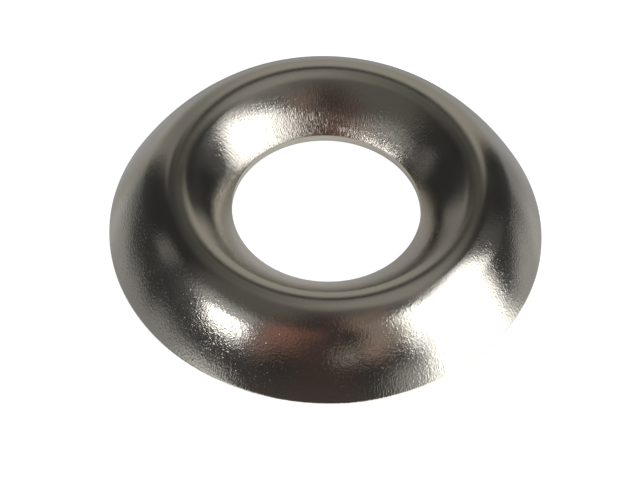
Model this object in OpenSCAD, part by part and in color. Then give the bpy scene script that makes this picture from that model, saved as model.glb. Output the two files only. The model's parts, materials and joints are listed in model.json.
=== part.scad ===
// Finishing cup washer for a countersunk screw: one sheet-metal cup, pressed, pierced and plated.
// Its section is a chain of tangent arcs of one sheet thickness, turned about +Z.
// The rim stands on the plane z = 0, and the screw goes in from above.

/* [Main sizes] */
// Outside diameter of the rim
outer_d = 14.5; // [13.5:0.1:18]
// Height of the crest above the seat of the rim
height = 2.7; // [2.2:0.05:3.2]
// Diameter of the circle along the top of the crest
crest_d = 10; // [9:0.05:10.8]
// Diameter of the screw hole
hole_d = 6.3; // [4.5:0.1:7.2]
// Thickness of the sheet
sheet_t = 0.45; // [0.3:0.05:0.6]

/* [Pressed form] */
// Outside radius of the bend along the crest
crest_r = 0.9; // [0.7:0.05:1.2]
// Slope at both ends of the crest bend, in degrees
crest_slope = 30; // [25:1:36]
// Slope of the cup at the hole, in degrees
cup_slope = 53; // [44:1:58]
// Slope of the skirt at the rim, in degrees
rim_slope = 66; // [60:1:75]
// Length of the shoulder bend for each unit of length of the skirt below it
shoulder_share = 0.45; // [0.3:0.01:1]

/* [Cut edges] */
// Height of the straight wall of the pierced hole
hole_land = 0.25; // [0.15:0.05:0.4]
// Height of the straight wall of the trimmed rim
rim_land = 0.1; // [0.05:0.01:0.2]
// Radius of the edges that the cutting rolled over
edge_r = 0.08; // [0.04:0.01:0.12]

/* [Hidden] */
nickel = [0.62, 0.60, 0.56];
// Straight steps in each arc of the section, and round the turned solid
arc_steps = 10;
$fn = 180;
outer_r = outer_d / 2;
hole_r = hole_d / 2;
crest_mid_r = crest_d / 2;

// A slope is the fall of the surface going outwards, in degrees, so the cup's slopes are negative.
// Unit vectors in the section [radius, height]: along the surface outwards, and up out of it
function along(slope) = [cos(slope), -sin(slope)];
function out_of(slope) = [sin(slope), cos(slope)];
function slope_of(v) = -atan2(v.y, v.x);

// One arc as [start point, start slope, end point, end slope]
function arc_to(p, slope, q) = [p, slope, q, 2 * slope_of(q - p) - slope];
function bend(p, slope, end_slope, r) = [p, slope, p + r * (out_of(end_slope) - out_of(slope)), end_slope];

// The point at share u of an arc, moved down through the sheet by the given depth
function arc_slope(a, u) = a[1] + u * (a[3] - a[1]);
function chord_share(turn, u) = abs(turn) < 0.001 ? u : sin(u * turn / 2) / sin(turn / 2);
function arc_point(a, u, depth) =
    a[0] + norm(a[2] - a[0]) * chord_share(a[3] - a[1], u) * along((a[1] + arc_slope(a, u)) / 2)
    - depth * out_of(arc_slope(a, u));
function arc_points(a, depth) = [for (i = [0 : arc_steps]) arc_point(a, i / arc_steps, depth)];
function chain_points(arcs, depth) =
    [for (i = [0 : len(arcs) - 1]) for (j = [i == 0 ? 0 : 1 : arc_steps]) arc_points(arcs[i], depth)[j]];
function reversed(list) = [for (i = [len(list) - 1 : -1 : 0]) list[i]];

// Crest: one bend, level at the crest circle
crest_in = [crest_mid_r, height - crest_r] + crest_r * out_of(-crest_slope);
crest = bend(crest_in, -crest_slope, crest_slope, crest_r);

// Cup: one wide bend from the crest down to the hole, its radius set by the space between them
hole_roll = edge_r * (1 - sin(cup_slope));
cup_r = (crest_in.x - hole_r - hole_roll) / (sin(cup_slope) - sin(crest_slope));
cup_foot = crest_in + cup_r * (out_of(-cup_slope) - out_of(-crest_slope));
cup = bend(cup_foot, -cup_slope, -crest_slope, cup_r);

// Pierced hole: the cup's lower edge rolls over into a straight wall
hole_top = cup_foot + edge_r * (out_of(-90) - out_of(-cup_slope));
hole_edge = bend(hole_top, -90, -cup_slope, edge_r);

// Skirt: a shoulder bend and a wider bend that meet smoothly between the crest and the rim
rim_top = [outer_r, rim_land];
skirt_foot = rim_top + edge_r * (out_of(rim_slope) - out_of(90));
span = skirt_foot - crest[2];
pull = shoulder_share * along(crest_slope) + along(rim_slope);
spread = 2 * shoulder_share * (1 - cos(rim_slope - crest_slope)) * (span * span);
skirt_reach = (span * span) / (span * pull + sqrt(pow(span * pull, 2) + spread));
shoulder_reach = shoulder_share * skirt_reach;
shoulder_tip = crest[2] + shoulder_reach * along(crest_slope);
skirt_tip = skirt_foot - skirt_reach * along(rim_slope);
shoulder_end = (shoulder_tip * skirt_reach + skirt_tip * shoulder_reach) / (skirt_reach + shoulder_reach);
shoulder = arc_to(crest[2], crest_slope, shoulder_end);
skirt = arc_to(shoulder_end, shoulder[3], skirt_foot);

// Trimmed rim: the skirt's edge rolls over into a straight wall
rim_edge = bend(skirt_foot, rim_slope, 90, edge_r);

// Section of the sheet, run on below the rim so that the trim leaves a flat seat
module sheet_section() {
    face = chain_points([hole_edge, cup, crest, shoulder, skirt, rim_edge], 0);
    back = chain_points([cup, crest, shoulder, skirt], sheet_t);
    rim_run = back[len(back) - 1] + sheet_t * along(rim_slope);
    polygon(concat(
        [hole_top - [0, hole_land]],
        face,
        [[outer_r, -sheet_t], rim_run],
        reversed(back)
    ));
}

module cup_washer() {
    color(nickel)
        rotate_extrude()
            intersection() {
                sheet_section();
                square([outer_d, height + sheet_t]);
            }
}

cup_washer();
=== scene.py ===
"""Looks of a finishing cup washer: a pressed sheet-metal cup in bright nickel plate, on a white table."""
import json
import logging
import math
from dataclasses import dataclass
from enum import Enum

import bpy
from mathutils import Matrix, Vector


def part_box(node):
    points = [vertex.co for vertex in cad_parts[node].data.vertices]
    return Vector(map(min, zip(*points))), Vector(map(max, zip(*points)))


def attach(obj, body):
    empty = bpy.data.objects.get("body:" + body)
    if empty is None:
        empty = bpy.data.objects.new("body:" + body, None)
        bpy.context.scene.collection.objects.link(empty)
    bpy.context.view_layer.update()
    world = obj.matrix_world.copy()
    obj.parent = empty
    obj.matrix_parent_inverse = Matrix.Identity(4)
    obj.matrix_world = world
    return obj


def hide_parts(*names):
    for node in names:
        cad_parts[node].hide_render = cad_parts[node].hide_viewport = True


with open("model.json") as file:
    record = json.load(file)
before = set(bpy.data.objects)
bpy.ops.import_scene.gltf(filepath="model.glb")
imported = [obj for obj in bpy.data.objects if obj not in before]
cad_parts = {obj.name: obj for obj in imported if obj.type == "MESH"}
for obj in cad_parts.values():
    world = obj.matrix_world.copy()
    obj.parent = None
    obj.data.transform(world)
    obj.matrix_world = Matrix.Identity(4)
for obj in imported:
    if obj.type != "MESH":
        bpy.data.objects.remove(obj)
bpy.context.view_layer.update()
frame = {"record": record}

MM = 0.001
NODE = "cup_washer"
BODY = "root"
IMAGE_WIDTH_PX = 640
QUARTER_TURN = 90.0
HALF_TURN = 180.0
MIDDLE = 0.5
log = logging.getLogger("cup_washer_scene")

Colour = tuple[float, float, float]
Range = tuple[float, float]
Socket = bpy.types.NodeSocket
Input = float | Socket


class Bend(Enum):
    """The arcs of the washer's section, from the hole to the rim."""

    HOLE_EDGE = "hole_edge"
    CUP = "cup"
    CREST = "crest"
    SHOULDER = "shoulder"
    SKIRT = "skirt"
    RIM_EDGE = "rim_edge"


class Side(Enum):
    """The sides of the sheet, in the order of their finishes."""

    FACE = 0
    BACK = 1
    HOLE_WALL = 2


# Straight steps that each arc of the upper face is drawn with
BEND_STEPS: dict[Bend, int] = {
    Bend.HOLE_EDGE: 5,
    Bend.CUP: 24,
    Bend.CREST: 28,
    Bend.SHOULDER: 16,
    Bend.SKIRT: 22,
    Bend.RIM_EDGE: 4,
}
# The underside has the wide bends only, in this many times fewer steps
BACK_BENDS = (Bend.CUP, Bend.CREST, Bend.SHOULDER, Bend.SKIRT)
BACK_COARSER = 2


def along(slope: float) -> Vector:
    """Returns the unit vector [radius, height] along a surface that falls outwards by slope degrees."""
    return Vector((math.cos(math.radians(slope)), -math.sin(math.radians(slope))))


def out_of(slope: float) -> Vector:
    """Returns the unit vector [radius, height] up out of a surface that falls outwards by slope degrees."""
    return Vector((math.sin(math.radians(slope)), math.cos(math.radians(slope))))


@dataclass(frozen=True)
class Arc:
    """One arc of the section, with the slope of the surface at its two ends in degrees."""

    start: Vector
    start_slope: float
    end: Vector
    end_slope: float

    @classmethod
    def bend(cls, start: Vector, start_slope: float, end_slope: float, radius: float) -> "Arc":
        """Makes the arc of a known radius.

        Args:
            start: Its first point, as radius and height.
            start_slope: The slope at that point.
            end_slope: The slope at its last point.
            radius: The arc's radius.

        Returns:
            The arc.
        """
        end = start + radius * (out_of(end_slope) - out_of(start_slope))
        return cls(start, start_slope, end, end_slope)

    @classmethod
    def through(cls, start: Vector, start_slope: float, end: Vector) -> "Arc":
        """Makes the arc that leaves a point at a slope and passes through another.

        Args:
            start: Its first point, as radius and height.
            start_slope: The slope at that point.
            end: Its last point.

        Returns:
            The arc.
        """
        chord = end - start
        return cls(start, start_slope, end, -2 * math.degrees(math.atan2(chord.y, chord.x)) - start_slope)

    def point(self, share: float, depth: float) -> Vector:
        """Finds a point of the arc, moved down through the sheet.

        Args:
            share: How far along the arc the point is, from 0 to 1.
            depth: How far below the arc it is.

        Returns:
            The point, as radius and height.
        """
        turn = self.end_slope - self.start_slope
        half_turn = math.radians(turn) / 2
        slope = self.start_slope + share * turn
        chord = (self.end - self.start).length * math.sin(share * half_turn) / math.sin(half_turn)
        return self.start + chord * along((self.start_slope + slope) / 2) - depth * out_of(slope)

    def points(self, steps: int, depth: float = 0.0) -> list[Vector]:
        """Draws the arc in straight steps.

        Args:
            steps: The number of steps.
            depth: How far below the arc the line runs.

        Returns:
            The points from its start to its end.
        """
        return [self.point(i / steps, depth) for i in range(steps + 1)]


@dataclass(frozen=True)
class SheetSection:
    """The section of the pressed sheet, in metres and degrees, as radius and height."""

    outer_radius: float
    height: float
    hole_radius: float
    hole_wall: float
    crest_radius: float = 5.0 * MM
    sheet: float = 0.45 * MM
    crest_bend: float = 0.9 * MM
    crest_slope: float = 30.0
    cup_slope: float = 53.0
    rim_slope: float = 66.0
    shoulder_share: float = 0.45
    rim_wall: float = 0.1 * MM
    edge_roll: float = 0.08 * MM

    @classmethod
    def from_frame(cls) -> "SheetSection":
        """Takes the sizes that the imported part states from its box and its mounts.

        Returns:
            The section at those sizes.
        """
        low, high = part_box(NODE)
        hole = next(m for m in frame["record"]["mounts"] if m["name"] == "screw_hole")["dims"]
        return cls(high.x, high.z - low.z, hole["r_mm"] * MM, hole["length_mm"] * MM)

    def arcs(self) -> dict[Bend, Arc]:
        """Works out the arcs of the upper face.

        Returns:
            Each bend's arc, in order from the hole to the rim.
        """
        crest_in = Vector((self.crest_radius, self.height - self.crest_bend))
        crest_in += self.crest_bend * out_of(-self.crest_slope)
        crest = Arc.bend(crest_in, -self.crest_slope, self.crest_slope, self.crest_bend)
        cup = self._cup_arc(crest_in)
        hole_top = cup.start + self.edge_roll * (out_of(-QUARTER_TURN) - out_of(-self.cup_slope))
        rim_top = Vector((self.outer_radius, self.rim_wall))
        skirt_foot = rim_top + self.edge_roll * (out_of(self.rim_slope) - out_of(QUARTER_TURN))
        shoulder, skirt = self._skirt_arcs(crest.end, skirt_foot)
        return {
            Bend.HOLE_EDGE: Arc.bend(hole_top, -QUARTER_TURN, -self.cup_slope, self.edge_roll),
            Bend.CUP: cup,
            Bend.CREST: crest,
            Bend.SHOULDER: shoulder,
            Bend.SKIRT: skirt,
            Bend.RIM_EDGE: Arc.bend(skirt_foot, self.rim_slope, QUARTER_TURN, self.edge_roll),
        }

    def _cup_arc(self, crest_in: Vector) -> Arc:
        """Fits the cup's wide bend between the hole and the crest.

        Args:
            crest_in: The inner end of the crest's bend.

        Returns:
            The cup's arc, from the hole up to the crest.
        """
        slope_rise = out_of(self.cup_slope).x - out_of(self.crest_slope).x
        roll = self.edge_roll * (1 - out_of(self.cup_slope).x)
        radius = (crest_in.x - self.hole_radius - roll) / slope_rise
        foot = crest_in + radius * (out_of(-self.cup_slope) - out_of(-self.crest_slope))
        return Arc.bend(foot, -self.cup_slope, -self.crest_slope, radius)

    def _skirt_arcs(self, top: Vector, foot: Vector) -> tuple[Arc, Arc]:
        """Fits two bends that meet smoothly between the crest and the rim.

        Args:
            top: The outer end of the crest's bend.
            foot: The point where the rim's edge begins.

        Returns:
            The shoulder's arc and the skirt's arc.
        """
        span = foot - top
        pull = self.shoulder_share * along(self.crest_slope) + along(self.rim_slope)
        turn = math.radians(self.rim_slope - self.crest_slope)
        spread = 2 * self.shoulder_share * (1 - math.cos(turn)) * span.length_squared
        skirt_reach = span.length_squared / (span.dot(pull) + math.sqrt(span.dot(pull) ** 2 + spread))
        shoulder_reach = self.shoulder_share * skirt_reach
        shoulder_tip = top + shoulder_reach * along(self.crest_slope)
        skirt_tip = foot - skirt_reach * along(self.rim_slope)
        middle = (shoulder_tip * skirt_reach + skirt_tip * shoulder_reach) / (skirt_reach + shoulder_reach)
        shoulder = Arc.through(top, self.crest_slope, middle)
        return shoulder, Arc.through(middle, shoulder.end_slope, foot)

    def outline(self) -> list[Vector]:
        """Draws the closed section: hole wall, upper face, rim wall, flat seat and underside.

        Returns:
            The outline's points, in order, with the first not repeated.
        """
        arcs = self.arcs()
        face = self._chain([(arcs[b], BEND_STEPS[b]) for b in Bend], 0.0)
        back = self._chain([(arcs[b], BEND_STEPS[b] // BACK_COARSER) for b in BACK_BENDS], self.sheet)
        above = [p for p in back if p.y > 0]
        last = above[-1]
        below = back[len(above)] if len(above) < len(back) else None
        run = along(self.rim_slope) if below is None else below - last
        seat_inner = last - run * (last.y / run.y)
        hole_foot = face[0] - Vector((0, self.hole_wall))
        return [hole_foot, *face, Vector((self.outer_radius, 0)), seat_inner, *reversed(above)]

    @staticmethod
    def _chain(arcs: list[tuple[Arc, int]], depth: float) -> list[Vector]:
        """Draws arcs that follow each other as one line.

        Args:
            arcs: Each arc with its number of steps.
            depth: How far below the arcs the line runs.

        Returns:
            The line's points.
        """
        line = [arcs[0][0].point(0, depth)]
        for arc, steps in arcs:
            line += arc.points(steps, depth)[1:]
        return line


@dataclass
class NodeBench:
    """Adds nodes to a tree and joins them."""

    tree: bpy.types.NodeTree

    def add(self, kind: str, **settings: object) -> bpy.types.Node:
        """Adds a node.

        Args:
            kind: The node's type in Blender.
            **settings: Attributes to set on it.

        Returns:
            The node.
        """
        node = self.tree.nodes.new(kind)
        for name, value in settings.items():
            setattr(node, name, value)
        return node

    def feed(self, socket: Socket, value: object) -> None:
        """Links a socket to an input, or sets its constant.

        Args:
            socket: The socket that takes the value.
            value: Another node's output, or a constant.
        """
        if isinstance(value, Socket):
            self.tree.links.new(value, socket)
        else:
            socket.default_value = value

    def math(self, operation: str, *inputs: Input) -> Socket:
        """Adds one sum on numbers.

        Args:
            operation: The operation's name in Blender.
            *inputs: Its inputs, as sockets or numbers.

        Returns:
            The result.
        """
        node = self.add("ShaderNodeMath", operation=operation)
        for socket, value in zip(node.inputs, inputs):
            self.feed(socket, value)
        return node.outputs[0]

    def split(self, vector: Socket) -> tuple[Socket, ...]:
        """Takes a vector apart.

        Args:
            vector: The vector.

        Returns:
            Its three parts.
        """
        node = self.add("ShaderNodeSeparateXYZ")
        self.feed(node.inputs[0], vector)
        return tuple(node.outputs)

    def ramp(self, value: Input, source: Range, target: Range) -> Socket:
        """Maps one range of a number smoothly onto another, held at its ends.

        Args:
            value: The number.
            source: The range that it comes in.
            target: The range that it goes out in.

        Returns:
            The mapped number.
        """
        node = self.add("ShaderNodeMapRange", interpolation_type="SMOOTHSTEP")
        names = ("Value", "From Min", "From Max", "To Min", "To Max")
        for name, number in zip(names, (value, *source, *target)):
            self.feed(node.inputs[name], number)
        return node.outputs["Result"]

    def mix(self, share: Input, first: object, second: object) -> Socket:
        """Mixes two colours.

        Args:
            share: The share of the second.
            first: A colour or a socket.
            second: A colour or a socket.

        Returns:
            The mixed colour.
        """
        node = self.add("ShaderNodeMix", data_type="RGBA")
        colours = [s for s in node.inputs if s.type == "RGBA"]
        self.feed(node.inputs["Factor"], share)
        for socket, value in zip(colours, (first, second)):
            self.feed(socket, value if isinstance(value, Socket) else (*value, 1.0))
        return next(s for s in node.outputs if s.type == "RGBA")

    def noise(self, vector: Socket, scale: float, layers: float, w: Input | None = None) -> Socket:
        """Adds a cloud of noise.

        Args:
            vector: Where it is read.
            scale: Its waves to each unit of length.
            layers: Its number of finer layers.
            w: A fourth coordinate, if it has one.

        Returns:
            The noise, about 0 to 1.
        """
        node = self.add("ShaderNodeTexNoise", noise_dimensions="3D" if w is None else "4D")
        self.feed(node.inputs["Vector"], vector)
        if w is not None:
            self.feed(node.inputs["W"], w)
        node.inputs["Scale"].default_value = scale
        node.inputs["Detail"].default_value = layers
        return node.outputs["Fac"]

    def one_sided(self, front: Socket) -> Socket:
        """Makes a surface see-through from behind.

        Args:
            front: The shader of its front.

        Returns:
            The shader of both sides.
        """
        sides = self.add("ShaderNodeMixShader")
        behind = self.add("ShaderNodeNewGeometry").outputs["Backfacing"]
        clear = self.add("ShaderNodeBsdfTransparent").outputs[0]
        for socket, value in zip(sides.inputs, (behind, front, clear)):
            self.feed(socket, value)
        return sides.outputs[0]


@dataclass(frozen=True)
class Place:
    """A point on the washer as sockets: the point, its three parts and its distance from the axis."""

    point: Socket
    x: Socket
    y: Socket
    z: Socket
    radius: Socket

    @classmethod
    def on_washer(cls, bench: NodeBench) -> "Place":
        """Reads the point from the washer's own coordinates.

        Args:
            bench: The material's nodes.

        Returns:
            The place.
        """
        point = bench.add("ShaderNodeTexCoord").outputs["Object"]
        x, y, z = bench.split(point)
        squares = bench.math("ADD", bench.math("MULTIPLY", x, x), bench.math("MULTIPLY", y, y))
        return cls(point, x, y, z, bench.math("SQRT", squares))


@dataclass(frozen=True)
class Speckle:
    """A cloud of noise that is cut to a range, and goes out in another."""

    per_m: float
    layers: float
    cut: Range
    out: Range

    def draw(self, bench: NodeBench, place: Place) -> Socket:
        """Returns the speckle over the washer."""
        return bench.ramp(bench.noise(place.point, self.per_m, self.layers), self.cut, self.out)


@dataclass(frozen=True)
class NickelPlate:
    """A plated finish: warm grey metal with a fine grain, low pimples, a few flecks and press marks.

    Heights and zones are in metres. The crest is worn, so its relief is lower and its gloss is hazier.
    """

    name: str
    tone: Colour
    roughness: Range
    edge_tint: Colour = (0.7, 0.7, 0.7)
    grain_per_m: float = 60000.0
    grain_layers: float = 2.0
    grain_height: float = 1.25e-6
    pimples: Speckle = Speckle(11500.0, 1.0, (0.42, 0.76), (0.0, 1.45e-6))
    flecks: Speckle = Speckle(14000.0, 0.0, (0.67, 0.85), (0.0, 1.8e-6))
    patches: Speckle = Speckle(2600.0, 1.0, (0.35, 0.65), (0.75, 1.35))
    marks_around: float = 130.0
    marks_along_per_m: float = 4500.0
    mark_layers: float = 2.0
    mark_height: float = 8e-6
    mark_share: Range = (1.0, 0.3)
    mark_zone: Range = (0.4 * MM, 0.95 * MM)
    cup_mark_gain: float = 1.7
    cup_floor: float = 1.3 * MM
    cup_zone: Range = (4.7 * MM, 5.3 * MM)
    side_share: float = 0.35
    side_zone: Range = (0.35, 0.85)
    crest_share: float = 0.25
    crest_haze: float = 0.09
    crest_zone: Range = (2.35 * MM, 2.6 * MM)
    haze_down_cup: float = 0.15 * MM
    mottle_per_m: float = 900.0
    mottle_layers: float = 3.0
    mottle_cut: Range = (0.3, 0.7)
    mottle_share: float = 0.06

    def material(self) -> bpy.types.Material:
        """Builds the finish.

        Returns:
            The material.
        """
        made = bpy.data.materials.new(self.name)
        made.use_nodes = True
        bench = NodeBench(made.node_tree)
        shader = made.node_tree.nodes["Principled BSDF"]
        place = Place.on_washer(bench)
        mottle = bench.noise(place.point, self.mottle_per_m, self.mottle_layers)
        dark = tuple(c * (1 - self.mottle_share) for c in self.tone)
        bench.feed(shader.inputs["Base Color"], bench.mix(mottle, dark, self.tone))
        gloss = bench.ramp(mottle, self.mottle_cut, self.roughness)
        bench.feed(shader.inputs["Roughness"], bench.math("ADD", self._haze(bench, place), gloss))
        shader.inputs["Metallic"].default_value = 1.0
        shader.inputs["Specular Tint"].default_value = (*self.edge_tint, 1.0)
        bench.feed(shader.inputs["Normal"], self._bumps(bench, place))
        return made

    def _haze(self, bench: NodeBench, place: Place) -> Socket:
        """Roughens the crest, and the cup a little further down than the skirt.

        Args:
            bench: The material's nodes.
            place: The point on the washer.

        Returns:
            The roughness that the crest adds.
        """
        down_cup = bench.ramp(place.radius, self.cup_zone, (self.haze_down_cup, 0.0))
        return bench.ramp(bench.math("ADD", place.z, down_cup), self.crest_zone, (0.0, self.crest_haze))

    def _bumps(self, bench: NodeBench, place: Place) -> Socket:
        """Adds the grain, the pimples, the flecks and the marks as one relief.

        Args:
            bench: The material's nodes.
            place: The point on the washer.

        Returns:
            The bumped normal.
        """
        worn = bench.ramp(place.z, self.crest_zone, (1.0, self.crest_share))
        spots = bench.math("ADD", self.pimples.draw(bench, place), self.flecks.draw(bench, place))
        spots = bench.math("MULTIPLY", spots, bench.math("MULTIPLY", worn, self.patches.draw(bench, place)))
        marks = bench.math("MULTIPLY", self._marks(bench, place), worn)
        grain = bench.noise(place.point, self.grain_per_m, self.grain_layers)
        grain = bench.math("MULTIPLY", grain, self.grain_height)
        bump = bench.add("ShaderNodeBump")
        bump.inputs["Distance"].default_value = 1.0
        bench.feed(bump.inputs["Height"], bench.math("ADD", grain, bench.math("ADD", spots, marks)))
        return bump.outputs["Normal"]

    def _marks(self, bench: NodeBench, place: Place) -> Socket:
        """Draws the marks of the press, deepest near the rim and the hole, at the front and the back.

        Args:
            bench: The material's nodes.
            place: The point on the washer.

        Returns:
            The marks' relief.
        """
        round_the_axis = bench.add("ShaderNodeCombineXYZ")
        for socket, part in zip(round_the_axis.inputs, (place.x, place.y)):
            turned = bench.math("DIVIDE", part, place.radius)
            bench.feed(socket, bench.math("MULTIPLY", turned, self.marks_around))
        bench.feed(round_the_axis.inputs[2], bench.math("MULTIPLY", place.radius, self.marks_along_per_m))
        up_the_axis = bench.math("MULTIPLY", place.z, self.marks_along_per_m)
        lines = bench.noise(round_the_axis.outputs[0], 1.0, self.mark_layers, up_the_axis)
        floor = bench.ramp(place.radius, self.cup_zone, (self.cup_floor, 0.0))
        facing = bench.math("ABSOLUTE", bench.math("DIVIDE", place.y, place.radius))
        relief = bench.math("MULTIPLY", bench.math("SUBTRACT", lines, MIDDLE), self.mark_height)
        for share in (
            bench.ramp(bench.math("SUBTRACT", place.z, floor), self.mark_zone, self.mark_share),
            bench.ramp(place.radius, self.cup_zone, (self.cup_mark_gain, 1.0)),
            bench.ramp(facing, self.side_zone, (self.side_share, 1.0)),
        ):
            relief = bench.math("MULTIPLY", relief, share)
        return relief


FINISHES: dict[Side, NickelPlate] = {
    Side.FACE: NickelPlate("bright_nickel", (0.62, 0.592, 0.532), (0.09, 0.12)),
    Side.BACK: NickelPlate("dull_nickel", (0.74, 0.71, 0.645), (0.26, 0.36)),
    Side.HOLE_WALL: NickelPlate("cut_nickel", (0.74, 0.713, 0.65), (0.34, 0.42)),
}


@dataclass
class CupWasher:
    """The pressed washer: one sheet turned round its axis, plated bright outside and duller underneath."""

    section: SheetSection
    finishes: dict[Side, NickelPlate]
    round_steps: int = 288
    merge_gap: float = 1e-7
    sharp_angle: float = 40.0
    edge_break: float = 0.02 * MM
    edge_break_steps: int = 2
    back_tilt: float = -0.05
    wall_tilt: float = 0.5
    wall_roll_share: float = 0.25

    def build(self) -> bpy.types.Object:
        """Models the washer and seats it on its body.

        Returns:
            The finished piece.
        """
        piece = self._turn_section()
        self._break_edges()
        self._dress(piece)
        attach(piece, BODY)
        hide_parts(NODE)
        finish_names = ", ".join(finish.name for finish in self.finishes.values())
        log.info("%s: %d faces in %s", piece.name, len(piece.data.polygons), finish_names)
        return piece

    def _turn_section(self) -> bpy.types.Object:
        """Draws the section from one corner by extruding, and spins it round the axis.

        Returns:
            The new object, left in edit mode with everything selected.
        """
        outline = self.section.outline()
        bpy.ops.object.select_all(action="DESELECT")
        bpy.ops.mesh.primitive_plane_add(size=self.section.sheet, location=(0, 0, 0))
        piece = bpy.context.object
        piece.name = "pressed_cup_washer"
        piece.data.name = piece.name
        bpy.ops.object.mode_set(mode="EDIT")
        bpy.ops.mesh.select_all(action="SELECT")
        bpy.ops.mesh.merge(type="CENTER")
        bpy.ops.transform.translate(value=(outline[0].x, 0, outline[0].y))
        for before, point in zip(outline, outline[1:]):
            step = point - before
            bpy.ops.mesh.extrude_region_move(TRANSFORM_OT_translate={"value": (step.x, 0, step.y)})
        bpy.ops.mesh.select_all(action="DESELECT")
        bpy.ops.object.mode_set(mode="OBJECT")
        vertices = piece.data.vertices
        vertices[0].select = True
        vertices[len(vertices) - 1].select = True
        bpy.ops.object.mode_set(mode="EDIT")
        bpy.ops.mesh.edge_face_add()
        bpy.ops.mesh.select_all(action="SELECT")
        bpy.ops.mesh.spin(steps=self.round_steps, angle=2 * math.pi, center=(0, 0, 0), axis=(0, 0, 1))
        bpy.ops.mesh.select_all(action="SELECT")
        bpy.ops.mesh.remove_doubles(threshold=self.merge_gap)
        bpy.ops.mesh.normals_make_consistent(inside=False)
        return piece

    def _break_edges(self) -> None:
        """Rounds the sharp edges of the cut rim and the hole slightly, and leaves edit mode."""
        bpy.ops.mesh.select_all(action="DESELECT")
        bpy.ops.mesh.edges_select_sharp(sharpness=math.radians(self.sharp_angle))
        bpy.ops.mesh.bevel(offset=self.edge_break, segments=self.edge_break_steps, affect="EDGES")
        bpy.ops.mesh.select_all(action="DESELECT")
        bpy.ops.object.mode_set(mode="OBJECT")

    def _dress(self, piece: bpy.types.Object) -> None:
        """Shades the washer and plates each side of its sheet.

        Args:
            piece: The washer.
        """
        bpy.ops.object.shade_smooth_by_angle(angle=math.radians(self.sharp_angle))
        for side in Side:
            piece.data.materials.append(self.finishes[side].material())
        for face in piece.data.polygons:
            face.material_index = self._side(face).value

    def _side(self, face: bpy.types.MeshPolygon) -> Side:
        """Finds the side of the sheet that a face is on.

        Args:
            face: A face of the washer.

        Returns:
            The side.
        """
        if face.normal.z < self.back_tilt and face.center.z > self.section.rim_wall / 2:
            return Side.BACK
        wall_reach = self.section.hole_radius + self.section.edge_roll * self.wall_roll_share
        if face.center.xy.length < wall_reach and abs(face.normal.z) < self.wall_tilt:
            return Side.HOLE_WALL
        return Side.FACE


@dataclass(frozen=True)
class RoomPanel:
    """One soft-edged field of light or shade in the studio, by compass and height in degrees.

    The compass is 0 towards the camera and grows to the right of the picture.
    """

    name: str
    compass: Range
    height: Range
    soft: Range
    glow: Colour


@dataclass(frozen=True)
class StudioRoom:
    """The studio: a dim room from the table to the ceiling, and the panels in it, all as one world light.

    A panel covers those before it.
    """

    room_stops: tuple[tuple[float, Colour], ...]
    panels: tuple[RoomPanel, ...]

    def build(self) -> None:
        """Makes the room the scene's world."""
        world = bpy.data.worlds.new("studio_room")
        bpy.context.scene.world = world
        world.use_nodes = True
        bench = NodeBench(world.node_tree)
        x, y, z = bench.split(bench.add("ShaderNodeTexCoord").outputs["Generated"])
        height = bench.math("DEGREES", bench.math("ARCSINE", z))
        compass = bench.math("DEGREES", bench.math("ARCTAN2", x, bench.math("MULTIPLY", y, -1.0)))
        colour = self._bare_room(bench, height)
        for panel in self.panels:
            colour = bench.mix(self._panel_mask(bench, panel, compass, height), colour, panel.glow)
            colour.node.label = panel.name
        bench.feed(world.node_tree.nodes["Background"].inputs["Color"], colour)
        log.info("studio room: %d panels", len(self.panels))

    def _bare_room(self, bench: NodeBench, height: Socket) -> Socket:
        """Shades the bare room from the table up to the ceiling.

        Args:
            bench: The world's nodes.
            height: The angle above the horizon.

        Returns:
            The room's colour.
        """
        ramp = bench.add("ShaderNodeValToRGB")
        ramp.color_ramp.interpolation = "LINEAR"
        marks = ramp.color_ramp.elements
        while len(marks) < len(self.room_stops):
            marks.new(MIDDLE)
        for mark, (angle, glow) in zip(marks, self.room_stops):
            mark.position = (angle + QUARTER_TURN) / HALF_TURN
            mark.color = (*glow, 1.0)
        above_floor = bench.math("ADD", height, QUARTER_TURN)
        bench.feed(ramp.inputs["Fac"], bench.math("DIVIDE", above_floor, HALF_TURN))
        return ramp.outputs["Color"]

    @staticmethod
    def _panel_mask(bench: NodeBench, panel: RoomPanel, compass: Socket, height: Socket) -> Socket:
        """Finds where a panel covers the room behind it.

        Args:
            bench: The world's nodes.
            panel: The panel.
            compass: The direction's compass angle.
            height: The direction's angle above the horizon.

        Returns:
            1 inside the panel, falling to 0 over its soft edge.
        """
        mask = None
        for angle, (low, high), soft in zip((compass, height), (panel.compass, panel.height), panel.soft):
            away = bench.math("SUBTRACT", angle, (low + high) / 2)
            if angle is compass:
                away = bench.math("WRAP", away, HALF_TURN, -HALF_TURN)
            half = (high - low) / 2
            share = bench.ramp(bench.math("ABSOLUTE", away), (half - soft, half + soft), (1.0, 0.0))
            mask = share if mask is None else bench.math("MULTIPLY", mask, share)
        return mask


# What a fully warm glow loses of its green and its blue
WARM_GREEN_LOSS = 0.18
WARM_BLUE_LOSS = 0.55


def grey(glow: float, warmth: float = 0.0) -> Colour:
    """Returns a grey glow, warmer as warmth goes from 0 to 1."""
    return glow, glow * (1 - WARM_GREEN_LOSS * warmth), glow * (1 - WARM_BLUE_LOSS * warmth)


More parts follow.
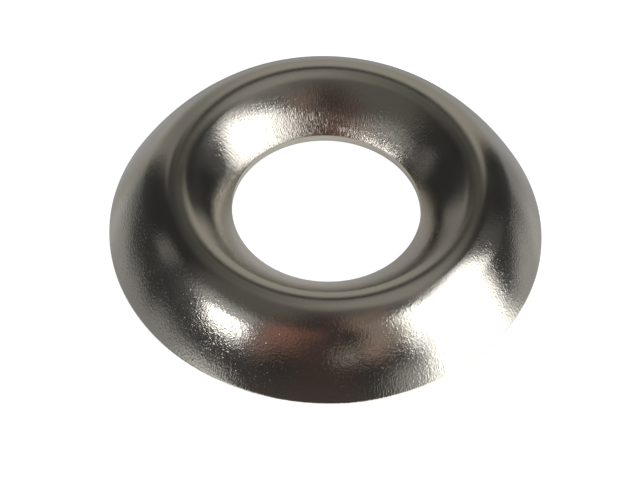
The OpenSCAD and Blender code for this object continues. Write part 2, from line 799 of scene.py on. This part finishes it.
STUDIO = StudioRoom(
    room_stops=(
        (-90, grey(2.2)),
        (-60, grey(1.8)),
        (-50, grey(0.6)),
        (-42, grey(0.56)),
        (-27, grey(0.63)),
        (-18, grey(0.25)),
        (-14.5, grey(0.075)),
        (-4, grey(0.05)),
        (8, grey(0.037)),
        (46, grey(0.028)),
        (53, grey(0.055, 0.2)),
        (63, grey(0.11, 0.2)),
        (74, grey(0.175, 0.25)),
        (90, grey(0.28, 0.25)),
    ),
    panels=(
        RoomPanel("ceiling, right", (62, 186), (57, 88), (20, 6), grey(0.33, 0.2)),
        RoomPanel("wall, front left", (-86, -16), (36, 74), (10, 7), grey(0.125, 0.2)),
        RoomPanel("wall, front left, low", (-84, -34), (6, 40), (8, 5), grey(0.10)),
        RoomPanel("dark screen, front", (-14, 16), (-30, 71), (6, 8), (0.064, 0.047, 0.045)),
        RoomPanel("wall, front right", (16, 47), (38, 60), (4, 5), (0.24, 0.18, 0.152)),
        RoomPanel("wall, front right, low", (22.5, 47), (13.5, 44), (4, 2.5), (0.295, 0.245, 0.216)),
        RoomPanel("wall, left", (-105, -91), (5, 29), (3, 3), grey(0.16, 0.1)),
        RoomPanel("backdrop", (148, 219.5), (-33, 40), (3.5, 9), grey(0.42, 0.25)),
        RoomPanel("backdrop, left", (196, 220), (-8, 41), (10, 10), grey(0.25, 0.2)),
        RoomPanel("dark screen, back left", (198, 226), (34, 56), (5, 4), grey(0.05)),
        RoomPanel("backdrop, foot", (148, 212), (-33, -14), (6, 7), grey(0.54)),
        RoomPanel("backdrop, foot, middle", (168, 192), (-62, -33), (6, 6), grey(0.38)),
        RoomPanel("grey screen, back right", (141, 152), (-29, -17), (4, 4), grey(0.33)),
        RoomPanel("table, far right", (104, 126), (-40, -12), (6, 4), grey(0.45)),
        RoomPanel("table, far left", (-126, -98), (-62, -15), (8, 4), grey(0.4)),
        RoomPanel("table, left", (-106, -78), (-62, -10), (8, 3), grey(0.31)),
        RoomPanel("table, near left", (-84, -42), (-62, -4), (6, 4), grey(0.33)),
        RoomPanel("table, under the lamp", (-62, -40), (-62, -6), (6, 4), grey(0.8)),
        RoomPanel("table, front", (-38, 38), (-66, -1), (6, 8), (0.08, 0.066, 0.063)),
        RoomPanel("table, beside the softbox", (34, 52), (-62, 4), (7, 4), grey(0.42)),
        RoomPanel("table, under the softbox", (46, 100), (-90, -16), (6, 6), grey(1.9)),
        RoomPanel("table, close by", (36, 150), (-90, -46), (6, 6), grey(1.9)),
        RoomPanel("dark screen, right", (98, 119), (2, 34), (6, 8), grey(0.10)),
        RoomPanel("warm card", (-31, -12), (18, 38), (7, 5), (0.31, 0.16, 0.129)),
        RoomPanel("warm card, right", (-16, 0), (24, 39), (5, 5), (0.17, 0.09, 0.074)),
        RoomPanel("warm card, top", (-34, -15), (43, 53), (5, 5), (0.125, 0.082, 0.069)),
        RoomPanel("warm card, low", (-37, -25), (12, 20), (4, 4), (0.30, 0.185, 0.16)),
        RoomPanel("warm card, front right", (23, 30), (13.5, 18.5), (3, 2.5), (0.50, 0.32, 0.255)),
        RoomPanel("strip light, front", (7, 19), (14.6, 16.8), (2.5, 0.7), grey(0.68, 0.35)),
        RoomPanel("lamp, wash", (-72, -37), (17, 37), (8, 8), grey(0.52)),
        RoomPanel("lamp", (-61, -42.2), (13.4, 20.2), (4.5, 2.4), grey(5.0)),
        RoomPanel("softbox, lower", (52.6, 94.0), (-21, 10), (5, 6), grey(2.5)),
        RoomPanel("softbox, upper", (45.8, 99.4), (10, 45.2), (4, 5), grey(2.5)),
        RoomPanel("softbox, dark corner", (38, 51.5), (40.5, 51), (4, 3.5), grey(0.16)),
    ),
)


def hide_from(obj: bpy.types.Object, rays: tuple[str, ...]) -> None:
    """Hides an object from some kinds of ray."""
    for ray in rays:
        setattr(obj, f"visible_{ray}", False)


@dataclass(frozen=True)
class WhiteTable:
    """The plain white table and backdrop that the camera sees, and nothing mirrors."""

    reach: float = 0.6
    round_steps: int = 48
    height_steps: int = 24
    glow: float = 1.0
    tone: float = 0.3
    roughness: float = 0.9
    hidden_from: tuple[str, ...] = ("diffuse", "glossy", "transmission", "volume_scatter", "shadow")

    def build(self) -> bpy.types.Object:
        """Models the table and its backdrop as one closed half dome.

        Returns:
            The stage.
        """
        bpy.ops.object.select_all(action="DESELECT")
        bpy.ops.mesh.primitive_uv_sphere_add(
            segments=self.round_steps, ring_count=self.height_steps, radius=self.reach
        )
        dome = bpy.context.object
        dome.name = "white_table"
        bpy.ops.object.mode_set(mode="EDIT")
        bpy.ops.mesh.select_all(action="SELECT")
        bpy.ops.mesh.bisect(plane_co=(0, 0, 0), plane_no=(0, 0, 1), use_fill=True, clear_inner=True)
        bpy.ops.mesh.select_all(action="SELECT")
        bpy.ops.mesh.normals_make_consistent(inside=True)
        bpy.ops.object.mode_set(mode="OBJECT")
        dome.data.materials.append(self._paint())
        hide_from(dome, self.hidden_from)
        log.info("white table: %.2f m", self.reach)
        return dome

    def _paint(self) -> bpy.types.Material:
        """Makes a white that is see-through from behind.

        Returns:
            The material.
        """
        made = bpy.data.materials.new("table_white")
        made.use_nodes = True
        bench = NodeBench(made.node_tree)
        nodes = made.node_tree.nodes
        shader = nodes["Principled BSDF"]
        shader.inputs["Base Color"].default_value = (self.tone, self.tone, self.tone, 1.0)
        shader.inputs["Roughness"].default_value = self.roughness
        shader.inputs["Emission Color"].default_value = (1.0, 1.0, 1.0, 1.0)
        shader.inputs["Emission Strength"].default_value = self.glow
        bench.feed(nodes["Material Output"].inputs["Surface"], bench.one_sided(shader.outputs[0]))
        return made


@dataclass(frozen=True)
class LitTable:
    """The table inside the washer's foot, which only the washer mirrors: a glowing disc with painted light,
    as if lit through the hole, fading to painted shade under the sheet.
    """

    washer_radius: float
    inset: float = 0.5 * MM
    drop: float = 0.02 * MM
    round_steps: int = 96
    # Painted light: the glow peaks at this point and fades over fade to its dimmer glow, as painted shade
    # under the sheet
    painted_light_centre: tuple[float, float, float] = (-2.0 * MM, 0.3 * MM, 0.0)
    fade: float = 6.5 * MM
    glow: Range = (0.65, 0.34)
    tint: Colour = (1.0, 0.975, 0.93)
    hidden_from: tuple[str, ...] = ("camera", "shadow")

    def build(self) -> bpy.types.Object:
        """Models the round of table just below the washer, glowing with painted light.

        Returns:
            The stage.
        """
        reach = self.washer_radius - self.inset
        bpy.ops.object.select_all(action="DESELECT")
        bpy.ops.mesh.primitive_circle_add(vertices=self.round_steps, radius=reach, fill_type="NGON")
        patch = bpy.context.object
        patch.name = "lit_table"
        bpy.ops.object.mode_set(mode="EDIT")
        bpy.ops.mesh.select_all(action="SELECT")
        bpy.ops.transform.translate(value=(0, 0, -self.drop))
        bpy.ops.object.mode_set(mode="OBJECT")
        patch.data.materials.append(self._paint())
        hide_from(patch, self.hidden_from)
        log.info("lit table: %.1f mm", reach / MM)
        return patch

    def _paint(self) -> bpy.types.Material:
        """Makes a glow of painted light, strongest in one place and fading round it into painted shade,
        see-through from below.

        Returns:
            The material.
        """
        # An emission that paints the light through the hole and the shade under the sheet
        made = bpy.data.materials.new("lit_table_painted_glow")
        made.use_nodes = True
        bench = NodeBench(made.node_tree)
        away = bench.add("ShaderNodeVectorMath", operation="DISTANCE")
        bench.feed(away.inputs[0], bench.add("ShaderNodeTexCoord").outputs["Object"])
        bench.feed(away.inputs[1], self.painted_light_centre)
        light = bench.add("ShaderNodeEmission")
        bench.feed(light.inputs["Color"], (*self.tint, 1.0))
        bench.feed(light.inputs["Strength"], bench.ramp(away.outputs["Value"], (0.0, self.fade), self.glow))
        surface = made.node_tree.nodes["Material Output"].inputs["Surface"]
        bench.feed(surface, bench.one_sided(light.outputs[0]))
        return made


@dataclass(frozen=True)
class PhotoCamera:
    """The camera of the picture, looking down on the washer from the front."""

    washer_radius: float
    elevation: float = 50.87
    roll: float = 2.09
    distance_in_radii: float = 28.0
    radius_px: float = 216.1
    washer_right_px: float = 5.5
    washer_up_px: float = 6.8
    sensor_mm: float = 36.0
    clip_span: float = 20.0

    def build(self) -> bpy.types.Object:
        """Makes the camera and hands it to the scene.

        Returns:
            The camera.
        """
        distance = self.distance_in_radii * self.washer_radius
        lens = bpy.data.cameras.new("photo_camera")
        lens.sensor_width = self.sensor_mm
        lens.lens = self.radius_px * self.distance_in_radii * self.sensor_mm / IMAGE_WIDTH_PX
        lens.clip_start = distance / self.clip_span
        lens.clip_end = distance * self.clip_span
        turn = Matrix.Rotation(math.radians(QUARTER_TURN - self.elevation), 3, "X")
        turn = turn @ Matrix.Rotation(math.radians(self.roll), 3, "Z")
        px = self.washer_radius / self.radius_px
        place = turn @ Vector((-self.washer_right_px * px, -self.washer_up_px * px, distance))
        camera = bpy.data.objects.new("photo_camera", lens)
        camera.matrix_world = Matrix.Translation(place) @ turn.to_4x4()
        bpy.context.scene.collection.objects.link(camera)
        bpy.context.scene.camera = camera
        log.info("camera: %.0f mm lens at %.0f mm", lens.lens, distance / MM)
        return camera


def main() -> None:
    """Builds the washer, its studio, its two tables and the camera."""
    logging.basicConfig(level=logging.INFO)
    section = SheetSection.from_frame()
    CupWasher(section, FINISHES).build()
    STUDIO.build()
    WhiteTable().build()
    LitTable(section.outer_radius).build()
    PhotoCamera(section.outer_radius).build()
    bpy.context.scene.view_settings.view_transform = "Standard"


if __name__ == "__main__":
    main()
